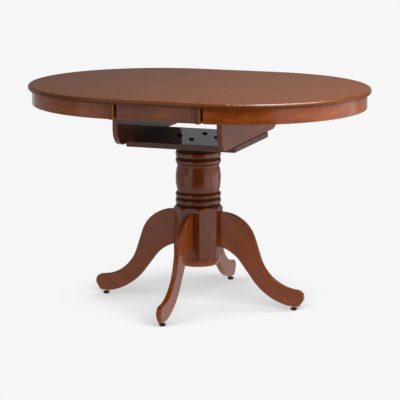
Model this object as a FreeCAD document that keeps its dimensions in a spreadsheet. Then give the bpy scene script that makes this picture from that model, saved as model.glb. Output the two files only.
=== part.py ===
import FreeCAD, Part
import math
import os
import Sketcher
from types import SimpleNamespace

# A round pedestal table that a folding butterfly leaf extends to an oval, drawn extended, with
# the leaf lying flat between its two half tops. Millimetres. The origin is on the floor under
# the column, +X is the way the half tops slide apart, -Y is the front and +Z is up.

# Driving dimensions. Each goes into a cell of the spreadsheet, and every size is bound to it.
SIZES = {
    # top
    "top_height": 770.0,
    "top_thickness": 18.0,
    "top_radius": 450.0,
    "top_nose_flat": 0.1,
    "leaf_opening": 300.0,
    "seam_gap": 0.3,
    "seam_bevel": 1.0,
    "leaf_end_gap": 0.7,
    # aprons: at each seam one ends in a round-nosed post, which the flush end of the next one meets
    "apron_overhang": 14.0,
    "apron_height": 50.0,
    "apron_thickness": 18.0,
    "apron_round": 2.0,
    "apron_end_round": 1.5,
    "post_width": 16.0,
    "post_depth": 30.0,
    "post_proud": 10.0,
    "post_recess": 8.0,
    "flush_end_width": 14.5,
    "flush_end_gap": 0.5,
    "block_length": 46.0,
    "block_depth": 20.0,
    "block_height": 26.0,
    "end_block_height": 47.0,
    # slides: a fixed guide in the middle, a runner of each half top beside it
    "guide_offset": 263.0,
    "guide_width": 18.0,
    "guide_height": 40.0,
    "guide_drop": 6.0,
    "tongue_depth": 6.0,
    "tongue_height": 8.0,
    "tongue_rise": 16.0,
    "slide_gap": 0.3,
    "runner_width": 17.0,
    "runner_inner_end": 30.0,
    "runner_end_gap": 12.0,
    # case under the top: mounting plate and two cheeks
    "plate_margin": 3.0,
    "plate_depth": 360.0,
    "plate_thickness": 19.0,
    "plate_base": 570.0,
    "plate_round": 1.5,
    "cheek_spacing": 350.0,
    "cheek_thickness": 18.0,
    "cheek_end": 17.5,
    "cheek_corner": 60.0,
    "cheek_round": 1.5,
    "cheek_clearance": 1.0,
    "notch_clearance": 0.7,
    # leaf pivots and leaf hinges
    "pivot_offset": 112.5,
    "pivot_drop": 50.0,
    "pin_radius": 5.0,
    "pin_clearance": 0.06,
    "pin_overrun": 3.0,
    "bracket_thickness": 3.0,
    "bracket_half_width": 20.0,
    "bracket_half_height": 22.0,
    "arm_setback": 5.0,
    "arm_thickness": 4.0,
    "arm_radius": 12.0,
    "flange_length": 36.0,
    "flange_half_width": 17.0,
    "flange_thickness": 2.5,
    "hinge_spacing": 100.0,
    "hinge_radius": 8.0,
    "hinge_cover": 2.0,
    "hinge_lift": 0.15,
    "hinge_leaf_thickness": 3.0,
    "hinge_leaf_gap": 0.1,
    "hinge_body_width": 12.0,
    "hinge_body_height": 14.5,
    "hinge_body_depth": 24.0,
    "hinge_clearance": 0.4,
    # turned column with its octagonal block
    "collar_height": 30.0,
    "collar_radius": 76.5,
    "collar_foot_radius": 71.0,
    "collar_foot_round": 4.5,
    "collar_foot_rise": 9.0,
    "collar_round": 7.5,
    "collar_groove_rise": 20.5,
    "collar_groove_width": 2.5,
    "collar_groove_depth": 3.0,
    "collar_bead_height": 5.5,
    "collar_bead_round": 1.5,
    "block_base": 170.5,
    "block_width": 158.0,
    "block_shoulder_height": 338.3,
    "block_top": 350.5,
    "block_turning_margin": 1.3,
    "bead_radius": 79.4,
    "notch_radius": 75.5,
    "notch_bevel": 1.3,
    "low_bead_start": 355.0,
    "low_bead_height": 21.0,
    "second_bead_height": 17.5,
    "waist_radius": 73.2,
    "waist_rise": 4.5,
    "throat_drop": 9.0,
    "barrel_corner_radius": 83.8,
    "barrel_round": 168.0,
    "top_bead_height": 24.5,
    "high_bead_height": 17.5,
    "bead_gap": 3.0,
    "capital_radius": 88.0,
    "capital_height": 14.0,
    "neck_height": 13.0,
    # legs, seen from the side: corners of the outline, with the rounding of each
    "leg_thickness": 18.5,
    "leg_round": 3.0,
    "leg_top": 329.0,
    "shoulder_reach": 181.0,
    "shoulder_round": 125.0,
    "ankle_setback": 125.8,
    "ankle_height": 79.2,
    "ankle_round": 152.0,
    "toe_height": 70.3,
    "leg_reach": 388.0,
    "toe_round": 24.0,
    "toe_side_height": 39.1,
    "toe_taper": 17.5,
    "toe_tip_round": 2.5,
    "foot_height": 14.0,
    "foot_length": 52.0,
    "heel_round": 20.0,
    "arch_setback": 135.6,
    "arch_height": 31.1,
    "arch_round": 215.0,
    "underarm_reach": 129.3,
    "underarm_height": 195.3,
    "underarm_round": 138.0,
    "leg_bottom": 206.2,
    # levelers
    "leveler_setback": 36.4,
    "leveler_radius": 11.5,
    "leveler_foot_radius": 8.5,
    "leveler_shoulder": 4.5,
    "leveler_rim": 8.0,
    "leveler_hub_radius": 6.0,
    "leveler_thickness": 9.5,
    "stem_radius": 4.0,
    "stem_length": 34.5,
    "stem_clearance": 0.06,
    "insert_radius": 6.0,
    "insert_length": 26.0,
    "stem_hole_depth": 36.0,
    "stem_hole_clearance": 0.5,
    # fasteners
    "hole_clearance": 0.1,
    "bolt_radius": 4.0,
    "bolt_length": 60.0,
    "bolt_head_radius": 9.0,
    "bolt_head_height": 5.0,
    "bolt_head_round": 4.5,
    "bolt_edge": 8.0,
    "leg_bolt_inner": 36.0,
    "leg_bolt_outer": 146.0,
    "leg_bolt_low_height": 244.0,
    "leg_bolt_high_height": 300.0,
    "screw_radius": 2.2,
    "screw_head_radius": 4.2,
    "screw_head_height": 3.0,
    "cheek_screw_length": 60.0,
    "cheek_screw_margin": 30.0,
    "guide_screw_length": 62.0,
    "runner_screw_depth": 16.0,
    "runner_screw_length": 42.0,
    "runner_screw_inset": 5.5,
    "runner_screw_seam_margin": 25.0,
    "runner_screw_end_margin": 45.0,
    "plate_screw_length": 14.0,
    "plate_screw_head": 1.5,
    "bracket_screw_offset": 12.0,
    "bracket_screw_drop": 14.0,
    "arm_screw_setback": 30.0,
    "arm_screw_offset": 10.0,
}

LEFT, RIGHT = -1, 1
FRONT, BACK = -1, 1
SIDE_NAMES = {LEFT: "left", RIGHT: "right"}
END_NAMES = {FRONT: "front", BACK: "back"}
# The half tops are alike, and so are the leaf halves: each is the other one turned about Z.
POST_END = {LEFT: BACK, RIGHT: FRONT}
POST_SIDE = {FRONT: LEFT, BACK: RIGHT}
LEG_ANGLES = {"right": 0, "back": 90, "left": 180, "front": 270}
BLOCK_ANGLES = (-56, -19, 19, 56)
HINGE_PLACES = (-1, 0, 1)
PLATE_SCREW_PLACES = (-1.5, -0.5, 0.5, 1.5)
RUNNER_SCREW_SHARES = (0, 0.5, 1)
OCTAGON_SIDES = 8
BEVEL_SIDES = 4
OCTAGON_RATIO = 1 / (2 * math.cos(math.pi / OCTAGON_SIDES))
HALF_FACET = 22.5
HALF_TURN = 180.0
FULL_TURN = 360.0
MERGE = 1e-6
SPARE = 0.98
BEAD_SHARE = 0.97


class Size:
    """A length with the expression that ties it to the spreadsheet."""

    def __init__(self, value, text):
        self.value = float(value)
        self.text = text

    def _join(self, sign, other, value):
        text = other.text if isinstance(other, Size) else repr(float(other))
        return Size(value, "(%s %s %s)" % (self.text, sign, text))

    def __add__(self, other):
        return self._join("+", other, self.value + number(other))

    def __sub__(self, other):
        return self._join("-", other, self.value - number(other))

    def __mul__(self, other):
        return self._join("*", other, self.value * number(other))

    def __truediv__(self, other):
        return self._join("/", other, self.value / number(other))

    def __neg__(self):
        return self * -1


def number(size):
    return size.value if isinstance(size, Size) else float(size)


def root(size):
    return Size(math.sqrt(size.value), "sqrt(%s)" % size.text)


doc = FreeCAD.newDocument("butterfly_leaf_table")
sheet = doc.addObject("Spreadsheet::Sheet", "sizes")
for row, (alias, value) in enumerate(SIZES.items(), start=1):
    sheet.set("A%d" % row, alias)
    sheet.set("B%d" % row, repr(value))
    sheet.setAlias("B%d" % row, alias)
doc.recompute()
d = SimpleNamespace(**{alias: Size(value, "sizes." + alias) for alias, value in SIZES.items()})
ZERO = Size(0, "0")


# ---------------------------------------------------------------- building blocks

def bind(thing, prop, size):
    """Tie one property of an object to the spreadsheet."""
    thing.setExpression(prop, size.text)


def place(thing, x, y, z):
    for letter, size in zip("xyz", (x, y, z)):
        if isinstance(size, Size):
            bind(thing, "Placement.Base." + letter, size)


def span(side, near, far):
    """The low and high ends of a stretch that lies on the positive or the negative side."""
    return (near, far) if side > 0 else (-far, -near)


def box(name, across, depth, height):
    """A block between pairs of positions along X, Y and Z."""
    block = doc.addObject("Part::Box", name)
    block.Label = name
    for prop, (low, high) in (("Length", across), ("Width", depth), ("Height", height)):
        bind(block, prop, high - low)
    place(block, across[0], depth[0], height[0])
    return block


TURNS = {
    "x": FreeCAD.Rotation(FreeCAD.Vector(0, 1, 0), 90),
    "y": FreeCAD.Rotation(FreeCAD.Vector(1, 0, 0), -90),
    "z": FreeCAD.Rotation(),
}


def rod(name, radius, axis, ends, at, sides=0):
    """A round bar along an axis, or a bar of so many sides, at two places across that axis."""
    low, high = ends
    if sides:
        bar = doc.addObject("Part::Prism", name)
        bar.Polygon = sides
        bind(bar, "Circumradius", radius)
    else:
        bar = doc.addObject("Part::Cylinder", name)
        bind(bar, "Radius", radius)
    bar.Label = name
    bind(bar, "Height", high - low)
    bar.Placement = FreeCAD.Placement(FreeCAD.Vector(), TURNS[axis])
    first, second = at
    spots = {"x": (low, first, second), "y": (first, low, second), "z": (first, second, low)}
    place(bar, *spots[axis])
    return bar


def group(name, things):
    bundle = doc.addObject("Part::Compound", name)
    bundle.Label = name
    bundle.Links = things
    return bundle


def fuse(name, things):
    union = doc.addObject("Part::MultiFuse", name)
    union.Label = name
    union.Shapes = things
    union.Refine = True
    return union


def cut(name, base, tools):
    """The base without the tools, which may overlap one another."""
    result = doc.addObject("Part::Cut", name)
    result.Label = name
    result.Base = base
    result.Tool = tools[0] if len(tools) == 1 else fuse(name + "_tools", tools)
    result.Refine = True
    return result


def common(name, base, tool):
    result = doc.addObject("Part::Common", name)
    result.Label = name
    result.Base = base
    result.Tool = tool
    return result


def new_body(name):
    body = doc.addObject("PartDesign::Body", name)
    body.Label = name
    return body


def roundings(points, corners):
    """The reach of each corner's rounding along its two sides, where neighbours share a side."""
    count = len(points)
    turns = []
    reaches = []
    for i, here in enumerate(points):
        half = (points[i - 1] - here).getAngle(points[(i + 1) % count] - here) / 2
        turns.append(math.tan(half))
        reaches.append(corners[i][2].value / math.tan(half) if len(corners[i]) == 3 else 0.0)
    limited = list(reaches)
    for i in range(count):
        following = (i + 1) % count
        room = (points[following] - points[i]).Length * SPARE
        wanted = reaches[i] + reaches[following]
        if wanted > room:
            limited[i] = min(limited[i], reaches[i] * room / wanted)
            limited[following] = min(limited[following], reaches[following] * room / wanted)
    return limited, [reach * turn for reach, turn in zip(limited, turns)]


def outline(body, name, plane, corners):
    """A closed sketch round corners given as (across, up) or (across, up, rounding)."""
    sketch = body.newObject("Sketcher::SketchObject", name)
    face = [part for part in body.Origin.OriginFeatures if part.Role == plane + "_Plane"][0]
    sketch.AttachmentSupport = [(face, "")]
    sketch.MapMode = "FlatFace"
    count = len(corners)
    points = [FreeCAD.Vector(c[0].value, c[1].value, 0) for c in corners]
    reaches, radii = roundings(points, corners)
    entries = []
    exits = []
    arcs = {}
    for i, here in enumerate(points):
        back = (points[i - 1] - here).normalize()
        ahead = (points[(i + 1) % count] - here).normalize()
        entries.append(here + back * reaches[i])
        exits.append(here + ahead * reaches[i])
        if reaches[i] > 0:
            arcs[i] = (here + (back + ahead).normalize() * math.hypot(reaches[i], radii[i]), radii[i])
    marks = [Part.Point(point) for point in points]
    lines = [Part.LineSegment(exits[i], entries[(i + 1) % count]) for i in range(count)]
    sketch.addGeometry(marks, True)
    sketch.addGeometry(lines, False)
    rules = []
    bound = {}
    for i, corner in enumerate(corners):
        for kind, size, axis in (("DistanceX", corner[0], -2), ("DistanceY", corner[1], -1)):
            if abs(size.value) < MERGE:
                rules.append(Sketcher.Constraint("PointOnObject", i, 1, axis))
            else:
                bound[len(rules)] = size
                rules.append(Sketcher.Constraint(kind, i, 1, size.value))
        leaving = count + i
        arriving = count + (i - 1) % count
        if i not in arcs:
            rules.append(Sketcher.Constraint("Coincident", leaving, 1, i, 1))
            rules.append(Sketcher.Constraint("Coincident", arriving, 2, i, 1))
            continue
        rules.append(Sketcher.Constraint("PointOnObject", i, 1, leaving))
        rules.append(Sketcher.Constraint("PointOnObject", i, 1, arriving))
        centre, radius = arcs[i]
        turn = (entries[i] - centre).cross(exits[i] - centre).z
        first, last = (entries[i], exits[i]) if turn > 0 else (exits[i], entries[i])
        angles = [math.atan2((p - centre).y, (p - centre).x) for p in (first, last)]
        circle = Part.Circle(centre, FreeCAD.Vector(0, 0, 1), radius)
        arc = sketch.addGeometry(Part.ArcOfCircle(circle, *angles), False)
        at_entry, at_exit = (1, 2) if turn > 0 else (2, 1)
        rules.append(Sketcher.Constraint("Tangent", arriving, 2, arc, at_entry))
        rules.append(Sketcher.Constraint("Tangent", leaving, 1, arc, at_exit))
        if abs(radius - corner[2].value) < MERGE:
            bound[len(rules)] = corner[2]
        rules.append(Sketcher.Constraint("Radius", arc, radius))
    sketch.addConstraint(rules)
    for index, size in bound.items():
        sketch.setExpression("Constraints[%d]" % index, size.text)
    return sketch


def extruded(name, plane, corners, length, centred=True):
    """A body padded from an outline, to both sides of its plane or to one."""
    body = new_body(name)
    pad = body.newObject("PartDesign::Pad", name + "_pad")
    pad.Profile = outline(body, name + "_outline", plane, corners)
    pad.SideType = "Symmetric" if centred else "One side"
    bind(pad, "Length", length)
    return body, pad


def turned(name, corners, angle=FULL_TURN):
    """A body revolved about its own Z axis from an outline of (radius, height) corners."""
    body = new_body(name)
    profile = outline(body, name + "_profile", "XZ", corners)
    revolution = body.newObject("PartDesign::Revolution", name + "_turning")
    revolution.Profile = profile
    revolution.ReferenceAxis = (profile, ["V_Axis"])
    revolution.Angle = angle
    revolution.Midplane = angle < FULL_TURN
    return body


def round_edges(body, feature, radius, chosen):
    """Round those edges of a feature that the test picks."""
    doc.recompute()
    edges = ["Edge%d" % (i + 1) for i, edge in enumerate(feature.Shape.Edges) if chosen(edge)]
    fillet = body.newObject("PartDesign::Fillet", body.Name + "_rounding")
    fillet.Base = (feature, edges)
    bind(fillet, "Radius", radius)


def fasteners(name, axis, tip, neck, top, spots, shank, head):
    """Screws alike, from tip to neck to the top of the head, and the holes that they need."""
    screws = []
    holes = []
    grown = d.hole_clearance
    for i, at in enumerate(spots):
        parts = []
        tools = []
        for part, radius, start, end in (("shank", shank, tip, neck), ("head", head, neck, top)):
            ends = (start, end) if start.value < end.value else (end, start)
            label = "%s_%s_%d" % (name, part, i)
            parts.append(rod(label, radius, axis, ends, at))
            loose = (ends[0] - grown, ends[1] + grown) if part == "shank" else ends
            tools.append(rod(label + "_hole", radius + grown, axis, loose, at))
        screws.append(fuse("%s_%d" % (name, i), parts))
        holes.extend(tools)
    return screws, holes


NODES = []


def finish(thing, name):
    """Name a finished piece after its node."""
    thing.Label = name
    NODES.append((name, thing))


# ---------------------------------------------------------------- shared levels and places

top_under = d.top_height - d.top_thickness
nose_round = (d.top_thickness - d.top_nose_flat) / 2
seam_x = d.leaf_opening / 2
leaf_end_x = seam_x - d.leaf_end_gap
seam_half_gap = d.seam_gap / 2
apron_outer = d.top_radius - d.apron_overhang
apron_inner = apron_outer - d.apron_thickness
apron_bottom = top_under - d.apron_height
half_recess_end = seam_x + d.post_width + d.post_recess
half_flush_start = seam_x + d.flush_end_gap
half_flush_end = half_flush_start + d.flush_end_width
leaf_recess_end = leaf_end_x - d.post_width - d.post_recess
leaf_flush_start = leaf_end_x - d.flush_end_gap
leaf_flush_end = leaf_flush_start - d.flush_end_width
plate_top = d.plate_base + d.plate_thickness
cheek_inner = d.cheek_spacing / 2
cheek_outer = cheek_inner + d.cheek_thickness
cheek_middle = cheek_inner + d.cheek_thickness / 2
cheek_top = top_under - d.cheek_clearance
guide_top = top_under - d.guide_drop
guide_bottom = guide_top - d.guide_height
guide_near = d.guide_offset - d.guide_width / 2
guide_far = d.guide_offset + d.guide_width / 2
tongue_bottom = guide_bottom + d.tongue_rise
tongue_top = tongue_bottom + d.tongue_height
runner_bottom = guide_bottom + d.slide_gap
runner_near = guide_near - d.slide_gap - d.runner_width
runner_far = guide_far + d.slide_gap + d.runner_width
runner_outer_end = seam_x + root(apron_inner * apron_inner - runner_far * runner_far) - d.runner_end_gap
pivot_height = d.top_height - d.pivot_drop
arm_outer = seam_x - d.arm_setback
arm_inner = arm_outer - d.arm_thickness
hinge_height = d.top_height + d.hinge_lift
leveler_reach = d.leg_reach - d.leveler_setback
insert_top = d.foot_height + d.insert_length
block_face = d.block_width / 2


# ---------------------------------------------------------------- column

def bead(base, height):
    """The corner of a bead that an arc rounds over its whole height, from notch to notch."""
    rise = d.bead_radius - d.notch_radius
    chord = height * height / 4
    peak = rise * 2 * chord / (chord - rise * rise)
    rounding = (chord + rise * rise) / (rise * 2)
    return d.notch_radius + peak, base + height / 2, rounding * BEAD_SHARE


def column_piece():
    """The turned column, whose lower part is left as an octagonal block with arched facets."""
    corner_radius = d.block_width * OCTAGON_RATIO
    shoulder = corner_radius + d.block_turning_margin
    rim = d.notch_radius + d.block_turning_margin
    low_bead_end = d.low_bead_start + d.low_bead_height
    second_bead = low_bead_end + d.bead_gap
    barrel_start = second_bead + d.second_bead_height
    capital_base = d.plate_base - d.capital_height
    top_bead_end = capital_base - d.neck_height
    top_bead = top_bead_end - d.top_bead_height
    high_bead_end = top_bead - d.bead_gap
    barrel_end = high_bead_end - d.high_bead_height
    waist = barrel_start + d.waist_rise
    throat = barrel_end - d.throat_drop
    turning = turned("column_turning", [
        (ZERO, d.block_base),
        (shoulder, d.block_base),
        (shoulder, d.block_shoulder_height),
        (rim, d.block_top),
        (d.notch_radius, d.block_top + d.notch_bevel),
        (d.notch_radius, d.low_bead_start),
        bead(d.low_bead_start, d.low_bead_height),
        (d.notch_radius, low_bead_end),
        (d.notch_radius, second_bead),
        bead(second_bead, d.second_bead_height),
        (d.notch_radius, barrel_start),
        (d.waist_radius, waist),
        (d.barrel_corner_radius, (waist + throat) / 2, d.barrel_round),
        (d.waist_radius, throat),
        (d.notch_radius, barrel_end),
        bead(barrel_end, d.high_bead_height),
        (d.notch_radius, high_bead_end),
        (d.notch_radius, top_bead),
        bead(top_bead, d.top_bead_height),
        (d.notch_radius, top_bead_end),
        (d.notch_radius, capital_base),
        (d.capital_radius, capital_base),
        (d.capital_radius, d.plate_base),
        (ZERO, d.plate_base),
    ])
    block = rod("column_octagon", corner_radius, "z", (d.block_base, d.block_top), (ZERO, ZERO),
                OCTAGON_SIDES)
    block.Placement.Rotation = FreeCAD.Rotation(FreeCAD.Vector(0, 0, 1), HALF_FACET)
    round_part = rod("column_round", d.capital_radius + d.block_turning_margin, "z",
                     (d.block_top, d.plate_base), (ZERO, ZERO))
    return common("column_blank", turning, fuse("column_envelope", [block, round_part]))


def collar_piece():
    """The turned ring that closes the column's lower end."""
    base = d.block_base - d.collar_height
    groove = base + d.collar_groove_rise
    bead_base = groove + d.collar_groove_width
    bead_top = bead_base + d.collar_bead_height
    neck = d.collar_radius - d.collar_groove_depth
    return turned("bottom_collar", [
        (ZERO, base),
        (d.collar_foot_radius, base, d.collar_foot_round),
        (d.collar_radius, base + d.collar_foot_rise, d.collar_round),
        (d.collar_radius, groove, d.collar_bead_round),
        (neck, groove),
        (neck, bead_base),
        (d.collar_radius, bead_base, d.collar_bead_round),
        (d.collar_radius, bead_top, d.collar_bead_round),
        (neck, bead_top),
        (neck, d.block_base),
        (ZERO, d.block_base),
    ])


def leg_bolt_spots():
    """Two bolts through each facet that carries a leg: name, axis, ends and place across."""
    spots = []
    for name, angle in LEG_ANGLES.items():
        axis = "x" if angle % 180 == 0 else "y"
        side = 1 if angle < 180 else -1
        for level, height in (("low", d.leg_bolt_low_height), ("high", d.leg_bolt_high_height)):
            ends = span(side, d.leg_bolt_inner, d.leg_bolt_outer)
            spots.append(("leg_bolt_%s_%s" % (name, level), axis, ends, (ZERO, height)))
    return spots


leg_bolts = [rod(name, d.bolt_radius, axis, ends, at) for name, axis, ends, at in leg_bolt_spots()]
leg_bolt_bores = [rod(name + "_bore", d.bolt_radius + d.hole_clearance, axis,
                      (ends[0] - d.hole_clearance, ends[1] + d.hole_clearance), at)
                  for name, axis, ends, at in leg_bolt_spots()]

bolt_tip = plate_top - d.bolt_length
bolt_reach = d.notch_radius - d.bolt_edge
bolt_spots = [(bolt_reach, ZERO), (-bolt_reach, ZERO), (ZERO, bolt_reach), (ZERO, -bolt_reach)]
column_bolts = []
column_bolt_bores = []
for i, at in enumerate(bolt_spots):
    bolt = turned("column_bolt_%d" % i, [
        (ZERO, bolt_tip),
        (d.bolt_radius, bolt_tip),
        (d.bolt_radius, plate_top),
        (d.bolt_head_radius, plate_top),
        (d.bolt_head_radius, plate_top + d.bolt_head_height, d.bolt_head_round),
        (ZERO, plate_top + d.bolt_head_height),
    ])
    place(bolt, at[0], at[1], None)
    column_bolts.append(bolt)
    column_bolt_bores.append(rod("column_bolt_bore_%d" % i, d.bolt_radius + d.hole_clearance, "z",
                                 (bolt_tip - d.hole_clearance, plate_top), at))

finish(cut("column_piece", column_piece(), leg_bolt_bores + column_bolt_bores), "column")
finish(collar_piece(), "bottom_collar")
finish(group("column_bolt_group", column_bolts), "column_bolts")
finish(group("leg_bolt_group", leg_bolts), "leg_bolts")


# ---------------------------------------------------------------- legs and levelers

LEG_CORNERS = [
    (block_face, d.leg_top),
    (d.shoulder_reach, d.leg_top, d.shoulder_round),
    (d.leg_reach - d.ankle_setback, d.ankle_height, d.ankle_round),
    (d.leg_reach, d.toe_height, d.toe_round),
    (d.leg_reach, d.toe_side_height, d.toe_round),
    (d.leg_reach - d.toe_taper, d.foot_height, d.toe_tip_round),
    (d.leg_reach - d.foot_length, d.foot_height, d.heel_round),
    (d.leg_reach - d.arch_setback, d.arch_height, d.arch_round),
    (d.underarm_reach, d.underarm_height, d.underarm_round),
    (block_face, d.leg_bottom),
]


def lies_on_leg_side(edge):
    """The long outline edges of a leg's two flat sides, but not those at the column."""
    bounds = edge.BoundBox
    at_column = bounds.XMax < block_face.value + MERGE
    return bounds.YLength < MERGE and not at_column


def turn_about_column(thing, angle):
    thing.Placement = FreeCAD.Placement(FreeCAD.Vector(), FreeCAD.Rotation(FreeCAD.Vector(0, 0, 1), angle))
    return thing


def leg_piece(name, angle):
    """One leg, sawn from a board along its outline, with bores for its bolts and its leveler."""
    board, pad = extruded("leg_board_" + name, "XZ", LEG_CORNERS, d.leg_thickness)
    round_edges(board, pad, d.leg_round, lies_on_leg_side)
    loose = d.hole_clearance
    at = (leveler_reach, ZERO)
    insert_bore = rod("insert_bore_" + name, d.insert_radius + loose, "z",
                      (d.foot_height - loose, insert_top), at)
    stem_bore = rod("stem_bore_" + name, d.stem_radius + d.stem_hole_clearance, "z",
                    (d.foot_height, d.foot_height + d.stem_hole_depth), at)
    bolt_ends = (block_face - loose, d.leg_bolt_outer + loose)
    bores = [rod("leg_bore_%s_%d" % (name, i), d.bolt_radius + loose, "x", bolt_ends, (ZERO, height))
             for i, height in enumerate((d.leg_bolt_low_height, d.leg_bolt_high_height))]
    return turn_about_column(cut("leg_cut_" + name, board, [insert_bore, stem_bore] + bores), angle)


def insert_piece(name, angle):
    """The threaded sleeve in the foot, with the leveler's stem inside it."""
    at = (leveler_reach, ZERO)
    sleeve = rod("insert_body_" + name, d.insert_radius, "z", (d.foot_height, insert_top), at)
    thread = rod("insert_thread_" + name, d.stem_radius + d.stem_clearance, "z",
                 (d.foot_height, insert_top), at)
    return turn_about_column(cut("insert_" + name, sleeve, [thread]), angle)


def leveler_places(angle):
    cosine = round(math.cos(math.radians(angle)))
    sine = round(math.sin(math.radians(angle)))
    return leveler_reach * cosine, leveler_reach * sine


def leveler_pad(name, angle):
    pad = turned("leveler_disc_" + name, [
        (ZERO, ZERO),
        (d.leveler_foot_radius, ZERO),
        (d.leveler_radius, d.leveler_shoulder),
        (d.leveler_radius, d.leveler_rim),
        (d.leveler_hub_radius, d.leveler_thickness),
        (ZERO, d.leveler_thickness),
    ])
    place(pad, *leveler_places(angle), None)
    return pad


def leveler_stem(name, angle):
    ends = (d.leveler_thickness, d.leveler_thickness + d.stem_length)
    return rod("leveler_rod_" + name, d.stem_radius, "z", ends, leveler_places(angle))


inserts = []
for name, angle in LEG_ANGLES.items():
    finish(leg_piece(name, angle), "leg_" + name)
    finish(leveler_pad(name, angle), "leveler_pad_" + name)
    finish(leveler_stem(name, angle), "leveler_stem_" + name)
    inserts.append(insert_piece(name, angle))
finish(group("insert_group", inserts), "leveler_inserts")


# ---------------------------------------------------------------- mounting plate and cheeks

cheek_screw_run = d.plate_depth - d.cheek_screw_margin * 2
cheek_screw_spacing = cheek_screw_run / (len(PLATE_SCREW_PLACES) - 1)
cheek_screws = []
cheek_screw_holes = []
screw_neck = d.plate_base + d.screw_head_height
for side in (LEFT, RIGHT):
    spots = [(cheek_middle * side, cheek_screw_spacing * step) for step in PLATE_SCREW_PLACES]
    screws, holes = fasteners("cheek_screw_" + SIDE_NAMES[side], "z", d.plate_base + d.cheek_screw_length,
                              screw_neck, d.plate_base, spots, d.screw_radius, d.screw_head_radius)
    cheek_screws.extend(screws)
    cheek_screw_holes.extend(holes)


def plate_piece():
    """The board that the column is bolted to and the cheeks stand on."""
    across = cheek_outer + d.plate_margin
    deep = d.plate_depth / 2
    board, pad = extruded("plate_board", "XY", [(-across, -deep), (across, -deep), (across, deep),
                                                (-across, deep)], d.plate_thickness, centred=False)
    round_edges(board, pad, d.plate_round, lambda edge: edge.BoundBox.ZLength < MERGE)
    bind(board, "Placement.Base.z", d.plate_base)
    return cut("plate_cut", board, column_bolt_bores + cheek_screw_holes)


finish(plate_piece(), "base_plate")
finish(group("cheek_screw_group", cheek_screws), "cheek_screws")

guide_screws = []
guide_screw_holes = []
for end in (FRONT, BACK):
    spots = [(cheek_middle * side, d.guide_offset * end) for side in (LEFT, RIGHT)]
    screws, holes = fasteners("guide_screw_" + END_NAMES[end], "z", guide_top - d.guide_screw_length,
                              guide_top - d.screw_head_height, guide_top, spots,
                              d.screw_radius, d.screw_head_radius)
    guide_screws.extend(screws)
    guide_screw_holes.extend(holes)

bracket_screws = []
bracket_screw_holes = []
bracket_face = cheek_inner - d.bracket_thickness
for side in (LEFT, RIGHT):
    spots = [(d.pivot_offset + d.bracket_screw_offset * way, pivot_height - d.bracket_screw_drop)
             for way in (-1, 1)]
    neck = bracket_face * side
    screws, holes = fasteners("bracket_screw_" + SIDE_NAMES[side], "x",
                              (bracket_face + d.plate_screw_length) * side, neck,
                              (bracket_face - d.plate_screw_head) * side, spots,
                              d.screw_radius, d.screw_head_radius)
    bracket_screws.extend(screws)
    bracket_screw_holes.extend(holes)


def cheek_piece(side):
    """A side board of the case, notched at both ends for the slides and rounded below."""
    notch_in = runner_near - d.notch_clearance
    notch_out = runner_far + d.notch_clearance
    half = notch_out + d.cheek_end
    right_half = [
        (half, plate_top, d.cheek_corner),
        (half, cheek_top),
        (notch_out, cheek_top),
        (notch_out, guide_bottom),
        (notch_in, guide_bottom),
        (notch_in, cheek_top),
    ]
    left_half = [(-corner[0],) + corner[1:] for corner in reversed(right_half)]
    name = SIDE_NAMES[side]
    board, pad = extruded("cheek_board_" + name, "YZ", right_half + left_half, d.cheek_thickness)
    round_edges(board, pad, d.cheek_round, lambda edge: edge.BoundBox.XLength < MERGE
                and edge.BoundBox.ZMin < guide_bottom.value - MERGE)
    bind(board, "Placement.Base.x", cheek_middle * side)
    return cut("cheek_cut_" + name, board, cheek_screw_holes + guide_screw_holes + bracket_screw_holes)


for side in (LEFT, RIGHT):
    finish(cheek_piece(side), "cheek_" + SIDE_NAMES[side])


# ---------------------------------------------------------------- slides

def guide_piece(end):
    """The fixed rail of a slide, with a tongue along each side for the runners' grooves."""
    name = END_NAMES[end]
    across = (-cheek_outer, cheek_outer)
    rail = box("guide_rail_" + name, across, span(end, guide_near, guide_far), (guide_bottom, guide_top))
    tongues = box("guide_tongues_" + name, across,
                  span(end, guide_near - d.tongue_depth, guide_far + d.tongue_depth),
                  (tongue_bottom, tongue_top))
    return cut("guide_cut_" + name, fuse("guide_section_" + name, [rail, tongues]), guide_screw_holes)


def runner_piece(side, end, holes):
    """A half top's rail, which slides along the guide on its inner or its outer side."""
    name = SIDE_NAMES[side] + "_" + END_NAMES[end]
    reach = span(side, d.runner_inner_end, runner_outer_end)
    depth, groove = runner_stretch(side)
    rail = box("runner_rail_" + name, reach, span(end, *depth), (runner_bottom, top_under))
    slot = box("runner_groove_" + name, reach, span(end, *groove),
               (tongue_bottom - d.slide_gap, tongue_top + d.slide_gap))
    return cut("runner_cut_" + name, rail, [slot] + holes)


def runner_stretch(side):
    """Where a runner and its groove lie across the table: the left top's rails run inside."""
    if side == LEFT:
        edge = guide_near - d.slide_gap
        return (runner_near, edge), (edge - d.tongue_depth, edge)
    edge = guide_far + d.slide_gap
    return (edge, runner_far), (edge, edge + d.tongue_depth)


def runner_screws(side):
    """Screws up through both runners of a half top, and their counterbored holes."""
    line = runner_near + d.runner_screw_inset if side == LEFT else runner_far - d.runner_screw_inset
    start = seam_x + d.runner_screw_seam_margin
    run = runner_outer_end - d.runner_screw_end_margin - start
    spots = [((start + run * share) * side, line * end)
             for end in (FRONT, BACK) for share in RUNNER_SCREW_SHARES]
    head_base = runner_bottom + d.runner_screw_depth
    name = SIDE_NAMES[side]
    screws, holes = fasteners("runner_screw_" + name, "z", head_base + d.runner_screw_length,
                              head_base + d.screw_head_height, head_base, spots,
                              d.screw_radius, d.screw_head_radius)
    for i, at in enumerate(spots):
        holes.append(rod("runner_counterbore_%s_%d" % (name, i), d.screw_head_radius + d.hole_clearance,
                         "z", (runner_bottom - d.slide_gap, head_base), at))
    return screws, holes


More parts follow.
